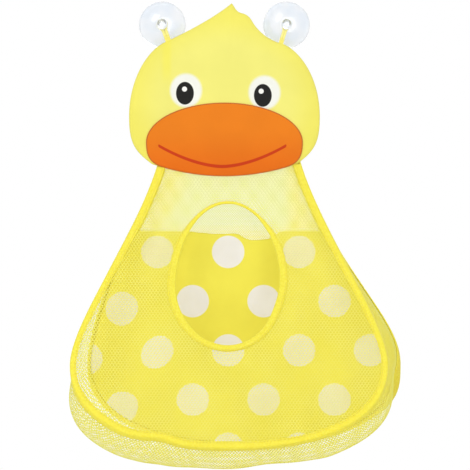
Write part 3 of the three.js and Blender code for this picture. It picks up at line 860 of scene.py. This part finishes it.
neck_x = np.linspace(BAG_X + NECK_W, BAG_X - NECK_W, 60)[1:-1]
neck_line = np.stack([neck_x, neck_edge_z(neck_x) + 2.6], 1)
net_outline = np.vstack([front_line, neck_line])
net_reach = polar(net_outline, MOUTH)


def about(theta, degrees, sharp):
    """1 in one direction and less and less away from it, quicker where sharp is larger."""
    return np.exp(sharp * (np.cos(theta - math.radians(degrees)) - 1))


def mouth_reach(theta):
    """The opening's edge from its middle: an egg that is pulled out a little at the left and the top."""
    c, s = np.cos(theta), np.sin(theta)
    pull = 2.8 * about(theta, 205, 2.6) + 1.8 * about(theta, 98, 5.5) - 1.4 * about(theta, -30, 14)
    return pull + 1 / np.hypot(c / MOUTH_W, s / np.where(s > 0, MOUTH_ABOVE, MOUTH_BELOW))


def net_share(x, z):
    """Distance from the opening's middle, and that of the opening's and the net's edge."""
    dx, dz = x - MOUTH[0], z - MOUTH[1]
    theta = np.arctan2(dz, dx)
    near = mouth_reach(theta)
    return np.hypot(dx, dz), near, net_reach(theta)


def front_surface(x, z):
    r, near, far = net_share(x, z)
    s = np.clip((r - near) / (far - near), 0, 1)
    slack = 0.7 * np.sin(x / 19 + z / 41) * np.sin(z / 27) * s * (1 - s) * 4
    crown = 9
    return np.stack([x, front_y(x, z) - crown * (1 - s * s) + slack, z], -1)


def front_keep(x, z):
    r, near, far = net_share(x, z)
    return (r > near + 0.9) & (r < far - 1.3)


front_net = hex_net("front_net_panel", front_surface, front_keep, (-150, -410), (156, -130), "net")
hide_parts("front_net")

run = lengths(front_seam)
across = np.linspace(0, 1, 41)
rows = front_seam[:, None] * (1 - across)[None, :, None] + back_seam[:, None] * across[None, :, None]
rows = rows + out[:, None] * (bulge[:, None] * np.sin(math.pi * across)[None])[..., None]
width = np.linalg.norm(np.diff(rows, axis=1), axis=2).sum(1)


def gusset_surface(u, v):
    s = np.clip(v / np.maximum(np.interp(u, run, width), 0.5), -0.02, 1.02)
    f, b, o = (follow(u, run, values) for values in (front_seam, back_seam, out))
    push = np.interp(u, run, bulge) * np.sin(math.pi * np.clip(s, 0, 1))
    lump = 0.9 * np.sin(u / 29) * np.sin(math.pi * np.clip(s, 0, 1)) * np.interp(u, run, depth) / FULL_DEPTH
    return f + (b - f) * s[..., None] + o * (push + lump)[..., None]


def gusset_keep(u, v):
    return (v > 1.0) & (v < np.interp(u, run, width) - 0.3) & (u > 2) & (u < run[-1] - 2)


gusset = hex_net("gusset_net_panel", gusset_surface, gusset_keep, (0, 0), (run[-1], width.max()), "net",
                 wide=0.95)
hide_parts("gusset_net")

# Back wall: dotted cloth, pale fine net above it
inset = 0.2
back_edge = (back_seam - inset * out)[:, [0, 2]]
middle = len(seam) // 2
left_edge, right_edge = back_edge[:middle + 1], back_edge[middle:][::-1]


def side_x(edge, z):
    return np.interp(-z, -edge[:, 1], edge[:, 0])


def back_wave(x, z):
    fold = 0.5 * np.sin(x / 26 + z / 60) * np.sin(z / 33 + 0.7) + 0.3 * np.sin((x - 0.6 * z) / 15)
    left, right = side_x(left_edge, z), side_x(right_edge, z)
    hold = smooth(np.minimum(x - left, right - x) / 25) * smooth((z - BOTTOM_Z - 1) / 30)
    return BACK_Y + fold * hold


def cloth_rise(x, z):
    """How far the cloth's upper edge hangs up or down from its mean height, less and less further down."""
    sag = 3.0 * hump(x, -4, 26) + 8.2 * hump(x, 33, 17, power=4)
    return (4.0 - sag) * smooth((z - CLOTH_TOP + 30) / 30)


z_rows = np.concatenate([
    np.linspace(CLOTH_TOP - 0.15, BOTTOM_Z + 16, 90), np.linspace(BOTTOM_Z + 15.3, BOTTOM_Z + 1.2, 24)])
share = np.linspace(0, 1, 121)
cloth_x = side_x(left_edge, z_rows)[:, None] * (1 - share) + side_x(right_edge, z_rows)[:, None] * share
cloth_z = np.broadcast_to(z_rows[:, None], cloth_x.shape)
cloth_y = back_wave(cloth_x, cloth_z)
# Half thickness of the cloth, and what its hem adds above the hem's lower edge
HALF_CLOTH, HEM_ADDS, HEM_FOOT = 0.42, 0.35, -212
half = HALF_CLOTH + HEM_ADDS * smooth((cloth_z - HEM_FOOT) / 1.2)
cloth_z = cloth_z + cloth_rise(cloth_x, cloth_z)
skins = [np.stack([cloth_x, cloth_y + d * half, cloth_z], -1).reshape(-1, 3) for d in (-1, 1)]
faces = grid_faces(*cloth_x.shape, wrap_columns=False)
size = cloth_x.size
order = np.arange(size).reshape(cloth_x.shape)
flat_rim = np.r_[order[0], order[1:, -1], order[-1, -2::-1], order[-2:0:-1, 0]].tolist()
rim_faces = [[a, b, b + size, a + size] for a, b in zip(flat_rim, flat_rim[1:] + flat_rim[:1])]
faces = faces + [[v + size for v in reversed(f)] for f in faces] + rim_faces
cloth = piece("dotted_back_cloth", np.vstack(skins), faces, "dots")
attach(cloth, "bag")
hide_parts("back_dot_panel")


def upper_surface(x, z):
    return np.stack([x, np.full_like(x, BACK_Y), z], -1)


def upper_keep(x, z):
    inside = (x > side_x(left_edge, z) + 0.6) & (x < side_x(right_edge, z) - 0.6)
    return inside & (z > CLOTH_TOP - 1.5 + cloth_rise(x, CLOTH_TOP)) & (z < neck_edge_z(x) + 1.6)


upper_net = hex_net("upper_back_net", upper_surface, upper_keep, (-100, -210), (110, -128), "pale_net",
                    pitch=1.7, row=1.2, upright=0.62, wide=0.68, thick=0.26)
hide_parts("back_top_net")

# Binding tapes


def corner_tape(line, into_panel, panel_out, into_gusset, panel_leg, gusset_leg, fin=0.0):
    """Profiles of a tape folded over a corner seam, one leg on the panel and one on the gusset.
    fin is how far its fold stands out from the corner in the plane of the panel."""
    ahead = unit(np.gradient(line, axis=0))
    a = square(ahead, into_panel)
    b = square(ahead, into_gusset)
    na = square(a, square(ahead, everywhere(panel_out, a)))
    nb = square(b, square(ahead, -a))
    mid = unit(na + nb)
    near, far = 0.7, 1.6
    lean_in = np.sum(mid * na, -1, keepdims=True)
    d = lengths(line)
    swell = (0.1 * np.sin(d * 2 * math.pi / STITCH_PITCH) + 0.12 * np.sin(d / 13))[:, None]
    upper = 1.6 * smooth((line[:, 2] + 270) / 90)
    leg = (panel_leg + upper + 0.25 * np.sin(d / 21 + 1) + 0.15 * np.sin(d / 7.7))[:, None]
    low = gusset_leg[:, None]
    stand = -a * np.broadcast_to(fin, len(line))[:, None]

    def on_panel(share, rise):
        return line + a * leg * share + na * rise

    def on_side(share, rise):
        return line + b * low * share + nb * rise
    profile = [
        on_panel(1, near), on_panel(1.04, (near + far) / 2), on_panel(1, far - 0.1),
        on_panel(0.85, far + swell * 0.3), on_panel(0.5, far + 0.06 + swell),
        stand + on_panel(0.12, far + 0.1 + swell * 0.5), stand + line + mid * (1.22 * far),
        stand + on_side(0.12, far + 0.1 + swell * 0.5), on_side(0.5, far + 0.06 + swell),
        on_side(0.8, far), on_side(1, far - 0.1), on_side(1.04, (near + far) / 2), on_side(1, near),
        on_side(0.5, near), line + mid * (near / lean_in), on_panel(0.5, near),
    ]
    sewn = line + a * leg * 0.78 + na * (far + 0.02)
    return np.stack(profile, 1), sewn, na


PANEL_LEG = 4.8
inside_step = front_line + 4 * unit(MOUTH - front_line)
into_front = front_surface(*inside_step.T) - front_surface(*front_line.T)
side_leg = np.minimum(4.6, 0.2 * depth)
gusset_front = rows[:, 3] - rows[:, 0]
front_profiles, front_sewn, front_up = corner_tape(
    front_seam, into_front, FORWARD, gusset_front, PANEL_LEG, side_leg)
front_tape = swept("front_seam_tape", front_profiles, "tape", False)
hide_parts("front_seam_binding")


def longer(values):
    """Rows with the first and the last one repeated twice more."""
    return np.concatenate([values[:1], values[:1], values, values[-1:], values[-1:]])


# The back tape runs on behind the head's edge at both ends of the neck
TUCK = 4.4
tuck_line = longer(back_seam)
for end, step in ((0, unit(back_seam[0] - back_seam[1])), (-1, unit(back_seam[-1] - back_seam[-2]))):
    tuck_line[end] += TUCK * step
    tuck_line[1 if end == 0 else -2] += TUCK / 2 * step
gusset_back = rows[:, -4] - rows[:, -1]
back_profiles, back_sewn, back_up = corner_tape(
    tuck_line, longer(-out), BACKWARD, longer(gusset_back), PANEL_LEG, longer(side_leg), longer(fin))
back_tape = swept("back_seam_tape", back_profiles, "tape", False)
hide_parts("back_seam_binding")

turns = full_turn(1600)
mouth_line = MOUTH + np.stack([np.cos(turns), np.sin(turns)], 1) * mouth_reach(turns)[:, None]
mouth_line = resample(mouth_line, 300, True)
mouth_x, mouth_z = mouth_line.T
mouth_edge = front_surface(mouth_x, mouth_z)
step_out = mouth_line + 5 * unit(mouth_line - MOUTH)
mouth_ahead = unit(np.roll(mouth_edge, -1, 0) - np.roll(mouth_edge, 1, 0))
into_net = square(mouth_ahead, front_surface(*step_out.T) - mouth_edge)
mouth_up = square(mouth_ahead, square(into_net, everywhere(FORWARD, into_net)))
mouth_run = lengths(mouth_edge)
# The tape of the opening is widest at the sides and narrow at the top
mouth_leg = 4.6 - 3.8 * smooth((mouth_z + 222) / 48) + 0.5 * smooth((MOUTH[0] - mouth_x) / 45)
mouth_leg = mouth_leg + 1.5 * hump(mouth_z, -250, 40)
mouth_leg = (mouth_leg + 0.2 * np.sin(mouth_run / 17))[:, None]
mouth_swell = (0.08 * np.sin(mouth_run * 2 * math.pi / STITCH_PITCH))[:, None]


def at_mouth(reach, rise):
    return mouth_edge + into_net * reach + mouth_up * rise


# Inner and outer half thickness of the tape folded over the opening's edge
SLOT, FOLD = 0.7, 1.65


def mouth_profiles(leg, swell):
    at = at_mouth
    return np.stack([
        at(leg, SLOT), at(leg + 0.2, 1.2), at(leg, FOLD - 0.05),
        at(leg * 0.8, FOLD + 0.02 + swell), at(leg * 0.4, FOLD + 0.08 + swell),
        at(0, FOLD + 0.05), at(-0.85, 1.3), at(-1.25, 0.55), at(-1.25, -0.55),
        at(-0.85, -1.35), at(0, -FOLD - 0.2), at(leg * 0.4, -FOLD - 0.2 - swell),
        at(leg * 0.75, -FOLD - 0.1), at(leg, -FOLD + 0.05), at(leg + 0.2, -1.2), at(leg, -SLOT),
        at(leg * 0.5, -SLOT), at(-0.3, -SLOT), at(-0.3, SLOT), at(leg * 0.5, SLOT)], 1)


mouth_tape = swept("opening_tape", mouth_profiles(mouth_leg, mouth_swell), "tape", True)
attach(mouth_tape, "bag")
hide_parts("opening_binding")

mouth_sewn = at_mouth(mouth_leg * 0.8, FOLD + 0.1)
mouth_stitch = stitches("opening_stitches", mouth_sewn, mouth_up, True)
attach(mouth_stitch, "bag")
front_stitch = stitches("front_seam_stitches", front_sewn, front_up, False)
back_stitch = stitches("back_seam_stitches", back_sewn, back_up, False)
# The hem is sewn on its back face
HEM_Z, HEM_INSET, HEM_BACK = -209.0, 6, 0.78
hem_x = np.linspace(side_x(left_edge, HEM_Z) + HEM_INSET, side_x(right_edge, HEM_Z) - HEM_INSET, 90)
hem_z = np.full_like(hem_x, HEM_Z)
hem_line = np.stack([hem_x, back_wave(hem_x, hem_z) + HEM_BACK, hem_z + cloth_rise(hem_x, hem_z)], 1)
hem_stitch = stitches("back_cloth_hem_stitches", hem_line, everywhere(BACKWARD, hem_line), False)
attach(hem_stitch, "bag")

for obj in (front_net, gusset, upper_net, front_tape, back_tape, front_stitch, back_stitch):
    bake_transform(obj)


# Elastic loops and suction cups


# Distances of the cups and of the sewn roots of their loops from the middle
CUP_X, ROOT_X = 60.0, 55.5


def elastic_loop(side, name, node, root_z, foot, half):
    """Elastic round a cup's neck; foot is half the distance of its legs, half its half thickness."""
    cup = np.array([side * CUP_X, 0.0])
    root = np.array([side * ROOT_X, root_z])
    reach = float(np.linalg.norm(root - cup))
    axis = (root - cup) / reach
    cross = np.array([-axis[1], axis[0]])
    neck_room, root_depth, wrap = 2.75, 4.2, 0.35
    radius = neck_room + half
    end = reach + root_depth
    arc = np.linspace(wrap, -math.pi - wrap, 60)
    round_neck = np.stack([radius * np.cos(arc), radius * np.sin(arc)], 1)
    leg = cubic(round_neck[-1], (-foot - 1.4, 3.4), (-foot, 4.5), (-foot, 7.5), 24)
    left_leg = np.vstack([leg, [[-foot, 7.5], [-foot, end]]])
    right_leg = left_leg[::-1] * np.array([-1.0, 1.0])
    local = np.vstack([right_leg, round_neck[1:-1], left_leg])
    local = resample(local, 150, False)
    flat = cup + local[:, :1] * cross + local[:, 1:] * axis
    ahead = unit(np.gradient(flat, axis=0))
    side_way = np.stack([ahead[:, 1], -ahead[:, 0]], 1)
    pinch = smooth((reach + 1.2 - local[:, 1]) / 3.4)
    half_w = 0.75 + 1.3 * pinch
    ring = [(-0.9, 1), (-0.4, 1.06), (0.4, 1.06), (0.9, 1), (1, 0.6), (1, -0.6)]
    ring += [(-y, -t) for y, t in ring]
    profiles = []
    for y, t in ring:
        p = flat + side_way * (half * t)
        profiles.append(np.stack([p[:, 0], SEAM_Y + y * half_w, p[:, 1]], 1))
    loop = swept(name, np.stack(profiles, 1), "elastic", False)
    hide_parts(node)
    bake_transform(loop)


elastic_loop(-1, "left_elastic_loop", "left_hanging_loop", -12.22, 1.38, 1.3)
elastic_loop(1, "right_elastic_loop", "right_hanging_loop", -15.14, 1.12, 1.05)


def suction_cup(x, name, body, node):
    hollow_depth, height, sides = 5.6, 19.5, 96
    hollow = cubic((0, hollow_depth), (12.375, hollow_depth), (16.2, 1.68), (19, 0), 28)
    rim = np.array([[19, 0], [20.5, 0], [22.2, 0.02], [22.5, 0.3], [22.45, 0.7], [22.2, 0.95]])
    bell = cubic((22.0, 1.0), (18, 2.5), (13.5, 8.7), (4.6, 8.7), 34)
    neck = np.array([[4.2, 8.75], [3.1, 8.9], [2.5, 9.5], [2.4, 10.4], [2.4, 12.2], [2.6, 13.1], [3.4, 13.5]])
    knob = cubic((4.3, 13.5), (5.6, 14.2), (5.7, 18.6), (3.0, 19.35), 18)
    cap = quad((3.0, 19.35), (1.6, height), (0, height), 8)
    line = np.vstack([hollow[1:], rim, bell, neck, knob, cap])
    turn = full_turn(sides)
    radius, deep = line[:, :1], line[:, 1:]
    rings = np.stack([
        x + radius * np.cos(turn), np.broadcast_to(-deep, (len(line), sides)), radius * np.sin(turn)], -1)
    points = np.vstack([rings.reshape(-1, 3), [[x, -hollow_depth, 0], [x, -height, 0]]])
    count = len(line) * sides
    faces = grid_faces(len(line), sides)
    faces += [[count, k, (k + 1) % sides] for k in range(sides)]
    last = count - sides
    faces += [[count + 1, last + (k + 1) % sides, last + k] for k in range(sides)]
    cup = piece(name, points, faces, "cup")
    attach(cup, body)
    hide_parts(node)


suction_cup(-CUP_X, "left_clear_cup", "left_cup", "left_suction_cup")
suction_cup(CUP_X, "right_clear_cup", "right_cup", "right_suction_cup")

# Faces are turned outwards; the nets have normals of their own
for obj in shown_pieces():
    if obj.type == "MESH" and "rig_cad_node" not in obj and not obj.data.has_custom_normals:
        bpy.context.view_layer.objects.active = obj
        obj.select_set(True)
        bpy.ops.object.mode_set(mode="EDIT")
        bpy.ops.mesh.select_all(action="SELECT")
        bpy.ops.mesh.normals_make_consistent(inside=False)
        bpy.ops.object.mode_set(mode="OBJECT")
        obj.select_set(False)

# Camera, light and floor

camera_data = bpy.data.cameras.new("photo_camera")
camera = added("photo_camera", camera_data)
# Middle and width of the view and the camera's distance, in metres
VIEW_X, VIEW_Y, VIEW_Z, VIEW_WIDTH = 0.0102, -0.03, -0.2032, 0.4512
DISTANCE = 4.0
camera.location = (VIEW_X, VIEW_Y - DISTANCE, VIEW_Z)
camera.rotation_euler = (math.pi / 2, 0, 0)
camera_data.sensor_fit = "HORIZONTAL"
camera_data.angle = 2 * math.atan(VIEW_WIDTH / 2 / DISTANCE)
camera_data.clip_end = 50
scene.camera = camera


LAMPS_AIM = (0, 0, -0.2)


def lamp(name, place, size, power):
    data = bpy.data.lights.new(name, "AREA")
    data.shape = "DISK"
    data.size = size
    data.energy = power
    obj = added(name, data)
    obj.location = place
    obj.rotation_euler = (Vector(LAMPS_AIM) - Vector(place)).to_track_quat("-Z", "Y").to_euler()


lamp("key", (-1.2, -2.4, 1.2), size=1.6, power=17)
lamp("front", (0.5, -3.0, 0.1), size=2.2, power=26)
lamp("back", (0.5, 2.2, 1.3), size=1.4, power=9)

# The room is white where it is seen, also in or through a cup, and gives less light than that
ROOM_LIGHT = 0.66
world = bpy.data.worlds.new("white_room")
scene.world = world
room = Tree(world, "Background")
rays = room.new("LightPath").outputs
glass = room.math("MAXIMUM", rays["Is Glossy Ray"], rays["Is Transmission Ray"])
seen = room.math("MAXIMUM", rays["Is Camera Ray"], glass)
strength = room.new("MapRange", Value=seen, To_Min=ROOM_LIGHT, To_Max=1).outputs["Result"]
room.set(Color=FULL, Strength=strength)

floor_mesh = bpy.data.meshes.new("floor")
half, near, far, floor_z = 1.0, -1.1, 0.45, -0.47
corners = [(-half, near, floor_z), (half, near, floor_z), (half, far, floor_z), (-half, far, floor_z)]
floor_mesh.from_pydata(corners, [], [[0, 1, 2, 3]])
floor = added("floor", floor_mesh)
pale = Graph("pale_floor")
grain = pale.noise(40, 3)
pale.colour(pale.mix(grain, rgb(238, 238, 236), rgb(244, 244, 242)))
pale.rough(grain * 0.1 + 0.8)
floor_mesh.materials.append(pale.material)

scene.view_settings.view_transform = "Standard"

# The fine threads let light through, so the cloth behind a net isn't shaded by it
for obj in (front_net, gusset, upper_net):
    obj.visible_shadow = False
